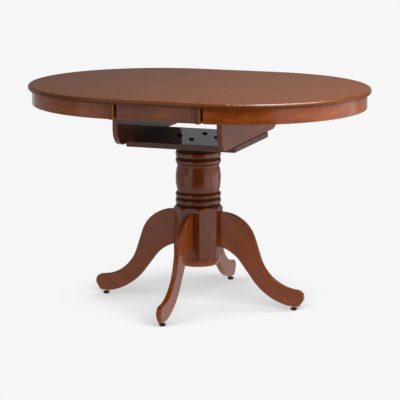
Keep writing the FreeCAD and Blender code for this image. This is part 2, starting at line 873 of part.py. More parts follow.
for end in (FRONT, BACK):
    finish(guide_piece(end), "slide_guide_" + END_NAMES[end])
finish(group("guide_screw_group", guide_screws), "guide_screws")


# ---------------------------------------------------------------- half tops

def half_circle_piece(name, side, corners):
    """A half ring or half disc, turned about the end of a half top's straight seam."""
    body = turned(name, corners, HALF_TURN)
    facing = 0 if side == RIGHT else HALF_TURN
    body.Placement = FreeCAD.Placement(FreeCAD.Vector(), FreeCAD.Rotation(FreeCAD.Vector(0, 0, 1), facing))
    bind(body, "Placement.Base.x", seam_x * side)
    return body


def half_top_piece(side, holes):
    name = SIDE_NAMES[side]
    board = half_circle_piece("half_board_" + name, side, [
        (ZERO, top_under),
        (d.top_radius, top_under, nose_round),
        (d.top_radius, d.top_height, nose_round),
        (ZERO, d.top_height),
    ])
    bevel = rod("half_bevel_" + name, d.seam_bevel, "y", (-d.top_radius, d.top_radius),
                (seam_x * side, d.top_height), BEVEL_SIDES)
    return cut("half_cut_" + name, board, [bevel] + holes)


def curved_apron_piece(side):
    name = SIDE_NAMES[side]
    ring = half_circle_piece("apron_ring_" + name, side, [
        (apron_inner, apron_bottom, d.apron_round),
        (apron_outer, apron_bottom, d.apron_round),
        (apron_outer, top_under),
        (apron_inner, top_under),
    ])
    ends = []
    for end, length in ((POST_END[side], half_recess_end), (-POST_END[side], half_flush_end)):
        ends.append(box("apron_end_cut_%s_%s" % (name, END_NAMES[end]), span(side, seam_x, length),
                        span(end, ZERO, d.top_radius), (apron_bottom, top_under)))
    return cut("apron_cut_" + name, ring, ends)


def post_piece(name, across, end):
    """The round-nosed post that closes an apron at the seam."""
    nose = apron_outer + d.post_proud - d.post_width / 2
    heights = (apron_bottom, top_under)
    shaft = box("post_shaft_" + name, across, span(end, nose - d.post_depth, nose), heights)
    front = rod("post_nose_" + name, d.post_width / 2, "z", heights,
                ((across[0] + across[1]) / 2, nose * end))
    return fuse("post_" + name, [shaft, front])


def straight_apron(name, across, end):
    """A straight piece of apron, rounded along its bottom and at its two ends."""
    body, pad = extruded(name, "YZ", [
        (apron_inner * end, apron_bottom, d.apron_round),
        (apron_outer * end, apron_bottom, d.apron_round),
        (apron_outer * end, top_under),
        (apron_inner * end, top_under),
    ], across[1] - across[0])
    round_edges(body, pad, d.apron_end_round, lambda edge: edge.BoundBox.XLength < MERGE
                and edge.BoundBox.ZMin < top_under.value - MERGE)
    bind(body, "Placement.Base.x", (across[0] + across[1]) / 2)
    return body


def glue_blocks(side):
    """Blocks behind the apron, and taller ones that tie its two ends to it."""
    name = SIDE_NAMES[side]
    heights = (top_under - d.block_height, top_under)
    end_heights = (top_under - d.end_block_height, top_under)
    blocks = []
    for i, angle in enumerate(BLOCK_ANGLES):
        block = box("glue_block_%s_%d" % (name, i), (ZERO, d.block_depth + d.apron_thickness),
                    (ZERO, d.block_length), heights)
        facing = angle if side == RIGHT else HALF_TURN + angle
        cosine = math.cos(math.radians(facing))
        sine = math.sin(math.radians(facing))
        inner = apron_inner - d.block_depth
        block.Placement.Rotation = FreeCAD.Rotation(FreeCAD.Vector(0, 0, 1), facing)
        place(block, seam_x * side + inner * cosine + d.block_length * (sine / 2),
              inner * sine - d.block_length * (cosine / 2), heights[0])
        blocks.append(block)
    for end, start in ((POST_END[side], seam_x + d.post_width), (-POST_END[side], half_flush_start)):
        blocks.append(box("end_block_%s_%s" % (name, END_NAMES[end]),
                          span(side, start, start + d.block_length),
                          span(end, apron_inner - d.block_depth, apron_outer), end_heights))
    inside = rod("glue_line_" + name, apron_inner, "z", (end_heights[0] - d.block_height, top_under),
                 (seam_x * side, ZERO))
    return common("glue_blocks_cut_" + name, group("glue_blocks_loose_" + name, blocks), inside)


for side in (LEFT, RIGHT):
    side_name = SIDE_NAMES[side]
    screws, holes = runner_screws(side)
    finish(half_top_piece(side, holes), "top_" + side_name)
    finish(curved_apron_piece(side), "apron_" + side_name)
    finish(post_piece(side_name, span(side, seam_x, seam_x + d.post_width), POST_END[side]),
           "seam_post_" + side_name)
    finish(straight_apron("apron_end_board_" + side_name, span(side, half_flush_start, half_flush_end),
                          -POST_END[side]), "apron_end_" + side_name)
    for end in (FRONT, BACK):
        finish(runner_piece(side, end, holes), "runner_%s_%s" % (side_name, END_NAMES[end]))
    finish(glue_blocks(side), "glue_blocks_" + side_name)
    finish(group("runner_screw_group_" + side_name, screws), "runner_screws_" + side_name)


# ---------------------------------------------------------------- butterfly leaf

hinge_body_top = d.top_height - d.hinge_cover
hinge_body_bottom = hinge_body_top - d.hinge_body_height
hinge_knuckle_bottom = hinge_height - d.hinge_radius
hinge_body_start = d.hinge_radius + d.hinge_clearance


def knuckle_stretches(end, middle):
    """Where the hinge leaves of one side lie along X: one on the front half, two on the back."""
    half = d.hinge_leaf_thickness / 2
    if end == FRONT:
        return [(middle - half, middle + half)]
    near = half + d.hinge_leaf_gap
    far = near + d.hinge_leaf_thickness
    return [(middle - far, middle - near), (middle + near, middle + far)]


def hinge_half(end, step):
    """Half of a concealed hinge: a brass body with leaves that turn about the seam's top line."""
    name = "%s_%d" % (END_NAMES[end], step + 1)
    middle = d.hinge_spacing * step
    half = d.hinge_body_width / 2
    parts = [box("hinge_body_" + name, (middle - half, middle + half),
                 span(end, hinge_body_start, d.hinge_body_depth), (hinge_body_bottom, hinge_body_top))]
    for i, stretch in enumerate(knuckle_stretches(end, middle)):
        disc = rod("hinge_disc_%s_%d" % (name, i), d.hinge_radius, "x", stretch, (ZERO, hinge_height))
        below = box("hinge_below_%s_%d" % (name, i), stretch, (-d.hinge_radius, d.hinge_radius),
                    (hinge_knuckle_bottom, hinge_body_top))
        parts.append(common("hinge_leaf_%s_%d" % (name, i), disc, below))
        parts.append(box("hinge_link_%s_%d" % (name, i), stretch,
                         span(end, ZERO, hinge_body_start), (hinge_knuckle_bottom, hinge_body_top)))
    return fuse("hinge_" + name, parts)


def hinge_pockets(end):
    """The mortises for the hinges in the edge of one leaf half."""
    loose = d.hinge_clearance
    half = d.hinge_body_width / 2 + d.hole_clearance
    return [box("hinge_pocket_%s_%d" % (END_NAMES[end], step + 1),
                (d.hinge_spacing * step - half, d.hinge_spacing * step + half),
                span(end, ZERO, d.hinge_body_depth + d.hole_clearance),
                (hinge_body_bottom - d.hole_clearance, hinge_body_top + loose))
            for step in HINGE_PLACES]


def leaf_panel_piece(end, holes):
    name = END_NAMES[end]
    board, _ = extruded("leaf_board_" + name, "YZ", [
        (seam_half_gap * end, top_under),
        (d.top_radius * end, top_under, nose_round),
        (d.top_radius * end, d.top_height, nose_round),
        (seam_half_gap * end, d.top_height),
    ], leaf_end_x * 2)
    bevels = [rod("leaf_bevel_%s_%s" % (name, SIDE_NAMES[side]), d.seam_bevel, "y",
                  span(end, ZERO, d.top_radius), (leaf_end_x * side, d.top_height), BEVEL_SIDES)
              for side in (LEFT, RIGHT)]
    bevels.append(rod("leaf_bevel_" + name, d.seam_bevel, "x", (-seam_x, seam_x),
                      (seam_half_gap * end, d.top_height), BEVEL_SIDES))
    return cut("leaf_cut_" + name, board, bevels + hinge_pockets(end) + holes)


def leaf_blocks(end):
    """Glue blocks in the corner between a leaf half and its apron, taller at the apron's ends."""
    name = END_NAMES[end]
    half = d.block_length / 2
    depth = span(end, apron_inner - d.block_depth, apron_inner)
    blocks = [box("leaf_block_" + name, (-half, half), depth, (top_under - d.block_height, top_under))]
    for side, outer in ((POST_SIDE[end], leaf_end_x - d.post_width), (-POST_SIDE[end], leaf_flush_start)):
        blocks.append(box("leaf_block_%s_%s" % (name, SIDE_NAMES[side]),
                          span(side, outer - d.block_length, outer), depth,
                          (top_under - d.end_block_height, top_under)))
    return group("leaf_blocks_loose_" + name, blocks)


def leaf_apron_pieces(end):
    """The leaf's apron, with its post at one end and its flush end at the other."""
    name = END_NAMES[end]
    side = POST_SIDE[end]
    low, high = (-leaf_recess_end, leaf_flush_end) if side == LEFT else (-leaf_flush_end, leaf_recess_end)
    finish(straight_apron("leaf_apron_board_" + name, (low, high), end), "leaf_apron_" + name)
    finish(post_piece("leaf_" + name, span(side, leaf_end_x - d.post_width, leaf_end_x), end),
           "leaf_post_" + name)
    finish(straight_apron("leaf_apron_end_board_" + name, span(-side, leaf_flush_end, leaf_flush_start), end),
           "leaf_apron_end_" + name)


def bracket_piece(side):
    """The steel plate on a cheek with the pin that the leaf swings on."""
    name = SIDE_NAMES[side]
    plate = box("bracket_plate_" + name, span(side, bracket_face, cheek_inner),
                (d.pivot_offset - d.bracket_half_width, d.pivot_offset + d.bracket_half_width),
                (pivot_height - d.bracket_half_height, pivot_height + d.bracket_half_height))
    pin = rod("bracket_pin_" + name, d.pin_radius, "x", span(side, arm_inner - d.pin_overrun, bracket_face),
              (d.pivot_offset, pivot_height))
    return cut("bracket_" + name, fuse("bracket_body_" + name, [plate, pin]), bracket_screw_holes)


arm_screws = []
arm_screw_holes = []
flange_bottom = top_under - d.flange_thickness
for side in (LEFT, RIGHT):
    spots = [((arm_outer - d.arm_screw_setback) * side, d.pivot_offset + d.arm_screw_offset * way)
             for way in (-1, 1)]
    screws, holes = fasteners("arm_screw_" + SIDE_NAMES[side], "z", flange_bottom + d.plate_screw_length,
                              flange_bottom, flange_bottom - d.plate_screw_head, spots,
                              d.screw_radius, d.screw_head_radius)
    arm_screws.extend(screws)
    arm_screw_holes.extend(holes)


def arm_piece(side):
    """The steel arm under the leaf's back half, with the bore that turns on the pin."""
    name = SIDE_NAMES[side]
    across = span(side, arm_inner, arm_outer)
    depth = (d.pivot_offset - d.arm_radius, d.pivot_offset + d.arm_radius)
    web = box("arm_web_" + name, across, depth, (pivot_height, top_under))
    eye = rod("arm_eye_" + name, d.arm_radius, "x", across, (d.pivot_offset, pivot_height))
    flange = box("arm_flange_" + name, span(side, arm_outer - d.flange_length, arm_outer),
                 (d.pivot_offset - d.flange_half_width, d.pivot_offset + d.flange_half_width),
                 (flange_bottom, top_under))
    bore = rod("arm_bore_" + name, d.pin_radius + d.pin_clearance, "x",
               span(side, arm_inner - d.arm_thickness, arm_outer + d.arm_thickness),
               (d.pivot_offset, pivot_height))
    return cut("arm_" + name, fuse("arm_body_" + name, [web, eye, flange]), [bore] + arm_screw_holes)


for side in (LEFT, RIGHT):
    finish(bracket_piece(side), "pivot_bracket_" + SIDE_NAMES[side])
    finish(arm_piece(side), "pivot_arm_" + SIDE_NAMES[side])
finish(group("bracket_screw_group", bracket_screws), "bracket_screws")
finish(group("arm_screw_group", arm_screws), "arm_screws")
for end in (FRONT, BACK):
    end_name = END_NAMES[end]
    finish(leaf_panel_piece(end, arm_screw_holes if end == BACK else []), "leaf_panel_" + end_name)
    leaf_apron_pieces(end)
    finish(leaf_blocks(end), "leaf_blocks_" + end_name)
    finish(group("hinge_group_" + end_name, [hinge_half(end, step) for step in HINGE_PLACES]),
           "hinges_" + end_name)


# ---------------------------------------------------------------- checks and files

doc.recompute()
for thing in doc.Objects:
    if "Invalid" in thing.State or "Error" in thing.State:
        raise RuntimeError("%s failed: %s" % (thing.Label, thing.State))
for name, thing in NODES:
    if thing.Shape.isNull() or not thing.Shape.isValid() or not thing.Shape.Solids:
        raise RuntimeError("%s has no valid solid" % name)

os.makedirs("parts", exist_ok=True)
for name, thing in NODES:
    thing.Shape.exportStep("parts/%s.step" % name)
    print("%-28s %2d solids %12.1f mm3" % (name, len(thing.Shape.Solids), thing.Shape.Volume))
print("%d nodes" % len(NODES))
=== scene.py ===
"""The looks of the butterfly leaf table: stained and lacquered hardwood, steel, brass and plastic,
a pale studio floor, soft light and the camera. Metres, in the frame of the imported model."""

import math

import bpy
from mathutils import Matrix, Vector

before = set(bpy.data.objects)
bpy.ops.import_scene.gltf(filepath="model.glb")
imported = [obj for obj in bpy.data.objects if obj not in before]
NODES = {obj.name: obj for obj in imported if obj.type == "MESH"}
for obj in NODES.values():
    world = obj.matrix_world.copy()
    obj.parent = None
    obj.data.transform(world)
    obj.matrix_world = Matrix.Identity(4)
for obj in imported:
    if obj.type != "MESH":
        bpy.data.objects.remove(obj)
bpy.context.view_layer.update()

MM = 0.001


# ---------------------------------------------------------------- shader nodes in short calls

# Where the colour sockets of a Mix node stand: its factor and two colours, and its result.
MIX_INPUTS = (0, 6, 7)
MIX_RESULT = 2

# Nearly all of a noise lies between these values.
USUAL_NOISE = (0.3, 0.7)


class Graph:
    """The node tree of a material or a world, with a short call for each kind of node."""

    def __init__(self, owner):
        owner.use_nodes = True
        self.tree = owner.node_tree
        self.tree.nodes.clear()

    def feed(self, socket, value):
        """Link a socket to another node's output, or set it to a value."""
        if isinstance(value, bpy.types.NodeSocket):
            self.tree.links.new(value, socket)
        else:
            socket.default_value = value

    def node(self, kind, settings=(), **inputs):
        """A new node, with its inputs given by socket name."""
        made = self.tree.nodes.new(kind)
        for name, value in dict(settings).items():
            setattr(made, name, value)
        for name, value in inputs.items():
            self.feed(made.inputs[name.replace("_", " ")], value)
        return made

    def in_order(self, kind, settings, values):
        """A new node, with its inputs given in their order."""
        made = self.node(kind, settings)
        for socket, value in zip(made.inputs, values):
            self.feed(socket, value)
        return made

    def math(self, operation, *values):
        return self.in_order("ShaderNodeMath", {"operation": operation}, values).outputs[0]

    def vector(self, operation, *values):
        made = self.in_order("ShaderNodeVectorMath", {"operation": operation}, values)
        return made.outputs["Value" if operation == "LENGTH" else "Vector"]

    def hypotenuse(self, first, second):
        squares = (self.math("POWER", first, 2.0), self.math("POWER", second, 2.0))
        return self.math("SQRT", self.math("ADD", *squares))

    def split(self, vector):
        return self.node("ShaderNodeSeparateXYZ", Vector=vector).outputs

    def join(self, x, y, z):
        return self.node("ShaderNodeCombineXYZ", X=x, Y=y, Z=z).outputs[0]

    def noise(self, vector, scale, detail=2.0, roughness=0.5):
        return self.node("ShaderNodeTexNoise", Vector=vector, Scale=scale, Detail=detail,
                         Roughness=roughness).outputs["Fac"]

    def stretched_noise(self, vector, stretch, detail=2.0, roughness=0.5):
        """Noise with a scale of its own along x, y and z."""
        return self.noise(self.vector("MULTIPLY", vector, stretch), 1.0, detail, roughness)

    def chance(self, value):
        """A steady random number from 0 to 1 for each value."""
        return self.node("ShaderNodeTexWhiteNoise", {"noise_dimensions": "1D"},
                         W=value).outputs["Value"]

    def remap(self, value, low, high, to_low=0.0, to_high=1.0, smooth=False):
        kind = {"interpolation_type": "SMOOTHSTEP" if smooth else "LINEAR"}
        return self.node("ShaderNodeMapRange", kind, Value=value, From_Min=low, From_Max=high,
                         To_Min=to_low, To_Max=to_high).outputs["Result"]

    def uneven(self, noise, middle, less, more):
        """A number that follows a noise, from a little less than its middle to a little more."""
        return self.remap(noise, *USUAL_NOISE, middle - less, middle + more)

    def blend(self, factor, first, second):
        """A blend of two colours."""
        made = self.node("ShaderNodeMix", {"data_type": "RGBA"})
        for socket, value in zip(MIX_INPUTS, (factor, first, second)):
            self.feed(made.inputs[socket], value)
        return made.outputs[MIX_RESULT]

    def mix(self, factor, first, second):
        """A mix of two shaders."""
        return self.in_order("ShaderNodeMixShader", (), (factor, first, second)).outputs[0]

    def bump(self, height, distance, strength):
        return self.node("ShaderNodeBump", Height=height, Distance=distance,
                         Strength=strength).outputs[0]

    def place(self):
        """The point on the piece, in metres, which moves with the piece."""
        return self.node("ShaderNodeTexCoord").outputs["Object"]

    def surface(self, **inputs):
        """The Principled shader, wired to the output."""
        self.output(self.node("ShaderNodeBsdfPrincipled", **inputs).outputs[0])

    def output(self, shader, kind="ShaderNodeOutputMaterial"):
        self.node(kind, Surface=shader)


def new_graph(name):
    material = bpy.data.materials.new(name)
    return material, Graph(material)


def paint(material, *names):
    """Give CAD nodes a material."""
    for name in names:
        mesh = NODES[name].data
        mesh.materials.clear()
        mesh.materials.append(material)


def named(*beginnings):
    """The CAD nodes whose names begin so."""
    return [name for name in NODES if name.startswith(beginnings)]


# ---------------------------------------------------------------- wood

# Each wood's darker and lighter stain, or its own two colours where it is bare.
CHERRY = ((0.21, 0.037, 0.004, 1.0), (0.44, 0.096, 0.012, 1.0))
DIM_CHERRY = ((0.13, 0.025, 0.004, 1.0), (0.29, 0.064, 0.010, 1.0))
COLUMN_CHERRY = ((0.135, 0.024, 0.005, 1.0), (0.29, 0.06, 0.011, 1.0))
TOP_CHERRY = ((0.108, 0.024, 0.003, 1.0), (0.22, 0.056, 0.006, 1.0))
WALNUT = ((0.07, 0.015, 0.005, 1.0), (0.17, 0.036, 0.010, 1.0))
BEECH = ((0.40, 0.22, 0.10, 1.0), (0.60, 0.41, 0.22, 1.0))
SOFTWOOD = ((0.38, 0.25, 0.12, 1.0), (0.56, 0.42, 0.24, 1.0))
# Darkest colour: pores, joints, stain on seam bevels, and painted shade in grooves and the case.
DEEP_STAIN_AND_SHADE = (0.045, 0.009, 0.003, 1.0)
GOLDEN = (0.50, 0.13, 0.022, 1.0)

# The marks in wood: how each noise is stretched along the board, across it and into it, and its
# detail and roughness.
FIBRE = ((14.0, 620.0, 620.0), 3.0, 0.65)
PORE = ((110.0, 1500.0, 1500.0), 1.0)
MOTTLE = ((9.0, 26.0, 26.0), 3.0, 0.55)
STREAK = ((2.2, 60.0, 60.0), 2.0, 0.6)
BLOTCH = ((34.0, 50.0, 50.0), 2.0)
WANDER = ((1.6, 9.0, 9.0), 2.0)

# How far each mark moves the colour from the darker stain to the lighter, at full contrast.
MOTTLE_SHARE = 1.3
STREAK_SHARE = 0.55
FIBRE_SHARE = 0.5
RING_SHARE = 0.16
STAVE_SHARE = 0.30

# Year rings run round a pith, which lies this far under the middle of the grain space, and they
# wander a little.
RING_SPACING = 4.6 * MM
RING_WANDER = 22.0 * MM
PITH_DEPTH = 0.11

# A seed moves the board in its grain space and picks other staves. Each stave comes from another
# place along the grain and into it.
SEED_SHIFT = (0.37, 0.011, 0.053)
SEED_STAVES = 7.0
STAVE_SHIFT_ALONG = 2.3
STAVE_SHIFT_IN = 0.6

# Where gold streaks and pores begin and are full, how dark pores and glued joints are, and how
# wide a joint is on each side.
GOLD_RANGE = (0.27, 0.42)
PORE_RANGE = (0.66, 0.74)
PORE_DARKNESS = 0.55
JOINT_DARKNESS = 0.35
JOINT_HALF = 0.25 * MM

# The wood's roughness, the relief of its fibres against its pores, and the ripple in the lacquer.
# Each bump is a depth and a strength.
WOOD_ROUGHNESS = (0.36, 0.48)
FIBRE_RELIEF = 0.3
WOOD_BUMP = (0.05 * MM, 0.5)
RIPPLE_SCALE = 90.0
RIPPLE_BUMP = (0.1 * MM, 0.2)


def straight_grain(turn):
    """Grain space for a straight board: x runs along the grain once the piece is turned."""
    def build(graph):
        return graph.node("ShaderNodeMapping", {"vector_type": "TEXTURE"}, Vector=graph.place(),
                          Rotation=turn).outputs[0]
    return build


def bent_grain(centre_x, side, radius):
    """Grain space for a curved apron: x follows the bend, y is the height and z goes outwards."""
    def build(graph):
        x, y, z = graph.split(graph.place())
        out = graph.math("MULTIPLY", graph.math("SUBTRACT", x, centre_x), side)
        angle = graph.math("ARCTAN2", y, out)
        return graph.join(graph.math("MULTIPLY", angle, radius), z, graph.hypotenuse(out, y))
    return build


ALONG_X = straight_grain((0.0, 0.0, 0.0))
ALONG_Y = straight_grain((0.0, 0.0, math.pi / 2))
ALONG_Z = straight_grain((0.0, math.pi / 2, 0.0))


def wood(name, grain, seed, stave, contrast, tone=0.5, stain=CHERRY, blotch=0.3, gilt=0.5,
         body=0.15, gloss=0.07, coat=1.0, coat_index=1.5, deep=None, dry=False):
    """Stained wood under satin lacquer, glued up from staves, with the grain along x of its grain
    space.

    stave is the width of a stave, and contrast the strength of the grain. tone is the usual colour
    between the two stains, blotch how unevenly the stain took, and gilt how golden some streaks
    are. body is the gloss of the wood itself. gloss, coat and coat_index are the lacquer's
    roughness, thickness and index of refraction; coat may be a function. deep says
    where the colour is darkened: real stain on the bevels of seams, and painted shade in the
    column's grooves and inside the case. dry leaves those places without lacquer."""
    material, graph = new_graph(name)
    shift = tuple(seed * part for part in SEED_SHIFT)
    x, y, z = graph.split(graph.vector("ADD", grain(graph), shift))
    row = graph.math("DIVIDE", y, stave)
    luck = graph.chance(graph.math("ADD", graph.math("FLOOR", row), seed * SEED_STAVES))
    at = graph.join(graph.math("ADD", x, graph.math("MULTIPLY", luck, STAVE_SHIFT_ALONG)), y,
                    graph.math("ADD", z, graph.math("MULTIPLY", luck, STAVE_SHIFT_IN)))

    fibre, pore, mottle, streak, patch, drift = (
        graph.stretched_noise(at, *mark) for mark in (FIBRE, PORE, MOTTLE, STREAK, BLOTCH, WANDER))
    across = graph.math("SUBTRACT", graph.math("MULTIPLY", graph.math("FRACT", row), stave),
                        stave / 2)
    round_pith = graph.hypotenuse(across, graph.math("ADD", z, PITH_DEPTH))
    wandering = graph.math("ADD", round_pith, graph.math("MULTIPLY", drift, RING_WANDER))
    phase = graph.math("DIVIDE", wandering, RING_SPACING / math.tau)
    ring = graph.math("MULTIPLY_ADD", graph.math("SINE", phase), 0.5, 0.5)

    mixed = tone
    for mark, share in ((mottle, MOTTLE_SHARE * contrast),
                        (streak, STREAK_SHARE * contrast),
                        (fibre, FIBRE_SHARE * contrast),
                        (patch, blotch),
                        (ring, RING_SHARE * contrast),
                        (luck, STAVE_SHARE * contrast)):
        mixed = graph.math("MULTIPLY_ADD", graph.math("SUBTRACT", mark, 0.5), share, mixed)
    gold = graph.remap(graph.math("MULTIPLY", mottle, streak), *GOLD_RANGE, 0.0, gilt * contrast,
                       smooth=True)
    pores = graph.remap(pore, *PORE_RANGE, 0.0, PORE_DARKNESS, smooth=True)
    joint = graph.remap(graph.math("ABSOLUTE", across), stave / 2 - JOINT_HALF, stave / 2,
                        0.0, JOINT_DARKNESS, smooth=True)
    colour = graph.blend(mixed, *stain)
    colour = graph.blend(gold, colour, GOLDEN)
    colour = graph.blend(pores, colour, DEEP_STAIN_AND_SHADE)
    colour = graph.blend(joint, colour, DEEP_STAIN_AND_SHADE)

    lacquer = coat(graph) if callable(coat) else coat
    # The mask darkens the colour: real stain on seam bevels, painted shade in grooves and the
    # case.
    if deep:
        stain_and_shade_mask = deep(graph)
        colour = graph.blend(stain_and_shade_mask, colour, DEEP_STAIN_AND_SHADE)
        if dry:
            lacquer = graph.math("MULTIPLY", graph.math("SUBTRACT", 1.0, stain_and_shade_mask), lacquer)

    relief = graph.math("SUBTRACT", graph.math("MULTIPLY", fibre, FIBRE_RELIEF), pores)
    ripple = graph.noise(graph.place(), RIPPLE_SCALE)
    graph.surface(Base_Color=colour, Roughness=graph.remap(fibre, *USUAL_NOISE, *WOOD_ROUGHNESS),
                  Normal=graph.bump(relief, *WOOD_BUMP), Specular_IOR_Level=body,
                  Coat_Weight=lacquer, Coat_Roughness=gloss, Coat_IOR=coat_index,
                  Coat_Normal=graph.bump(ripple, *RIPPLE_BUMP))
    return material


def boards(grain, *nodes):
    """Boards with the same grain, each as its material, its node and its grain."""
    return [("stained_" + node, node, grain) for node in nodes]


def dress(group, seed, step=0.0, **look):
    """Paint a group of boards that look alike. The seed moves on by a step from each board to the
    next, so that no two show the same grain."""
    for number, (material, node, grain) in enumerate(group):
        paint(wood(material, grain, seed + number * step, **look), node)


# ---------------------------------------------------------------- half tops and leaf

TOP_HEIGHT = 0.77

# The two long seams beside the leaf are at this x, and the short one between its halves is at y 0.
# Stain gathers this far to both sides of each. It is full on a share of that width.
SEAM_X = 0.15
SEAM_REACH = 1.3 * MM
SEAM_STAIN = 0.4
SEAM_STAIN_FULL = 0.8

# The lacquer on the flat top and on the under half of the rounded edge, and how far under the
# top's face it changes.
FLAT_LACQUER = 0.53
FLAT_FADE = (1.2 * MM, 0.1 * MM)
UNDER_LACQUER = 0.4
UNDER_FADE = (11.0 * MM, 6.0 * MM)


def beside_seams(graph):
    """Stain gathers on the bevels of the three seams."""
    x, y, _ = graph.split(graph.place())
    aside = graph.math("ABSOLUTE", x)
    to_long_seam = graph.math("ABSOLUTE", graph.math("SUBTRACT", aside, SEAM_X))
    # This is 1 off the leaf, so there the short seam is out of reach.
    off_leaf = graph.math("SUBTRACT", 1.0, graph.math("LESS_THAN", aside, SEAM_X))
    to_short_seam = graph.math("ADD", graph.math("ABSOLUTE", y), off_leaf)
    near = graph.math("MINIMUM", to_long_seam, to_short_seam)
    return graph.remap(near, SEAM_REACH * SEAM_STAIN_FULL, SEAM_REACH, SEAM_STAIN, 0.0)


def rubbed_top(graph):
    """The lacquer is full on the upper half of the rounded edge, rubbed thinner on the flat top,
    and thin on the under half of the edge."""
    height = graph.split(graph.place())["Z"]
    low, high = (TOP_HEIGHT - depth for depth in FLAT_FADE)
    flat = graph.remap(height, low, high, 1.0, FLAT_LACQUER)
    low, high = (TOP_HEIGHT - depth for depth in UNDER_FADE)
    under = graph.remap(height, low, high, UNDER_LACQUER, 1.0, smooth=True)
    return graph.math("MINIMUM", flat, under)


# The grain of the tops and the leaf runs along Y, like the long seams.
TOPS = ("top_left", "top_right", "leaf_panel_front", "leaf_panel_back")
dress([("stained_top_%d" % number, node, ALONG_Y) for number, node in enumerate(TOPS)],
      seed=3.1, step=5.7, stave=0.075, contrast=0.32, stain=TOP_CHERRY, blotch=0.5, gilt=0.08,
      body=0.05, gloss=0.14, coat=rubbed_top, deep=beside_seams)


# ---------------------------------------------------------------- aprons and posts

# Each curved apron bends at this radius, round the middle of the long seam beside it.
APRON_RADIUS = 0.436
dress([("stained_apron_" + half, "apron_" + half, bent_grain(SEAM_X * side, side, APRON_RADIUS))
       for side, half in ((-1, "left"), (1, "right"))],
      seed=17.3, step=8.0, stave=0.2, contrast=0.9, blotch=1.1)
dress(boards(ALONG_X, "leaf_apron_front", "leaf_apron_back"),
      seed=31.7, step=3.0, stave=0.2, contrast=0.7, stain=DIM_CHERRY, blotch=0.8)
dress(boards(ALONG_Z, "seam_post_left", "seam_post_right", "leaf_post_front", "leaf_post_back"),
      seed=41.3, step=2.9, stave=0.09, contrast=0.7, stain=DIM_CHERRY)
dress(boards(ALONG_X, "apron_end_left", "apron_end_right", "leaf_apron_end_front",
             "leaf_apron_end_back"),
      seed=46.1, step=2.3, stave=0.2, contrast=0.8)


# ---------------------------------------------------------------- leaf case

# The inner faces of the cheeks, the upper face of the plate, a margin for both, and how dark the
# painted shade inside the case is.
CASE_INNER_X = 0.1745
PLATE_TOP = 0.595
FACE_MARGIN = 1.0 * MM
CASE_SHADE = 0.85


def shade_in_case(graph):
    """Painted shade on the faces that the folded leaf lies between: the inner sides of the cheeks,
    and the top of the plate."""
    x, _, z = graph.split(graph.place())
    within = graph.math("LESS_THAN", graph.math("ABSOLUTE", x), CASE_INNER_X + FACE_MARGIN)
    above = graph.math("GREATER_THAN", z, PLATE_TOP - FACE_MARGIN)
    return graph.math("MULTIPLY", graph.math("MULTIPLY", within, above), CASE_SHADE)


# The cheeks and the plate get painted shade on their faces inside the case.
dress(boards(ALONG_Y, "cheek_left", "cheek_right"),
      seed=51.9, step=6.1, stave=0.09, contrast=0.5, stain=DIM_CHERRY, deep=shade_in_case)
dress([("stained_plate", "base_plate", ALONG_X)],
      seed=61.7, stave=0.09, contrast=0.5, tone=0.3, stain=WALNUT, deep=shade_in_case)


# ---------------------------------------------------------------- column and legs

# In the grooves between its beads the column is thinner than this; shade is painted there. The
# barrel between the beads, at this height and this far up and down, gets no painted shade.
GROOVE_RADIUS = 77.4 * MM
GROOVE_FADE = 1.4 * MM
GROOVE_SHADE = 0.95
BARREL_MIDDLE = 447.0 * MM
BARREL_HALF = 48.0 * MM
BARREL_FADE = 2.0 * MM

# Each leg's grain follows the slope of the leg, down and outwards.
LEG_SLOPE = math.radians(41.0)
LEG_TURNS = (("right", (0.0, LEG_SLOPE, 0.0)),
             ("left", (0.0, -LEG_SLOPE, math.pi)),
             ("back", (0.0, LEG_SLOPE, math.pi / 2)),
             ("front", (0.0, LEG_SLOPE, -math.pi / 2)))


def shade_in_grooves(graph):
    """Painted shade in the grooves between the beads, where the column is thin."""
    x, y, z = graph.split(graph.place())
    thin = graph.remap(graph.hypotenuse(x, y), GROOVE_RADIUS, GROOVE_RADIUS + GROOVE_FADE,
                       GROOVE_SHADE, 0.0, smooth=True)
    apart = graph.math("ABSOLUTE", graph.math("SUBTRACT", z, BARREL_MIDDLE))
    off_barrel = graph.remap(apart, BARREL_HALF, BARREL_HALF + BARREL_FADE)
    return graph.math("MULTIPLY", thin, off_barrel)


# The column gets painted shade, and no lacquer, in its grooves.
dress(boards(ALONG_Z, "column"),
      seed=71.3, stave=0.05, contrast=0.42, tone=0.4, stain=COLUMN_CHERRY, coat=0.82,
      coat_index=1.6, deep=shade_in_grooves, dry=True)
dress([("stained_collar", "bottom_collar", ALONG_X)], seed=77.9, stave=0.16, contrast=0.7)
dress([("stained_leg_" + name, "leg_" + name, straight_grain(turn)) for name, turn in LEG_TURNS],
      seed=81.1, step=7.3, stave=0.11, contrast=0.65)


# ---------------------------------------------------------------- slides and glue blocks

paint(wood("slide_wood", ALONG_X, seed=91.3, stave=0.2, contrast=0.5, stain=BEECH, gloss=0.3,
           coat=0.4),
      *named("slide_guide", "runner_left", "runner_right"))
paint(wood("block_wood", ALONG_X, seed=97.3, stave=0.2, contrast=0.5, stain=SOFTWOOD, gloss=0.3,
           coat=0.0),
      *named("glue_blocks", "leaf_blocks"))


# ---------------------------------------------------------------- metal and plastic

# Fine strokes: the noise is stretched along the way that a part was brushed. The clouds in metal
# are a noise's scale, detail and roughness, and each bump is a depth and a strength.
BRUSHED_LEVEL = (40.0, 40.0, 900.0)
BRUSHED_ALONG_Y = (900.0, 40.0, 900.0)
BRUSHED_ALONG_Z = (900.0, 900.0, 60.0)
METAL_CLOUD = (120.0, 3.0, 0.6)
METAL_DARKER = 0.75
METAL_UNEVEN = (0.06, 0.08)
METAL_BUMP = (0.02 * MM, 0.4)

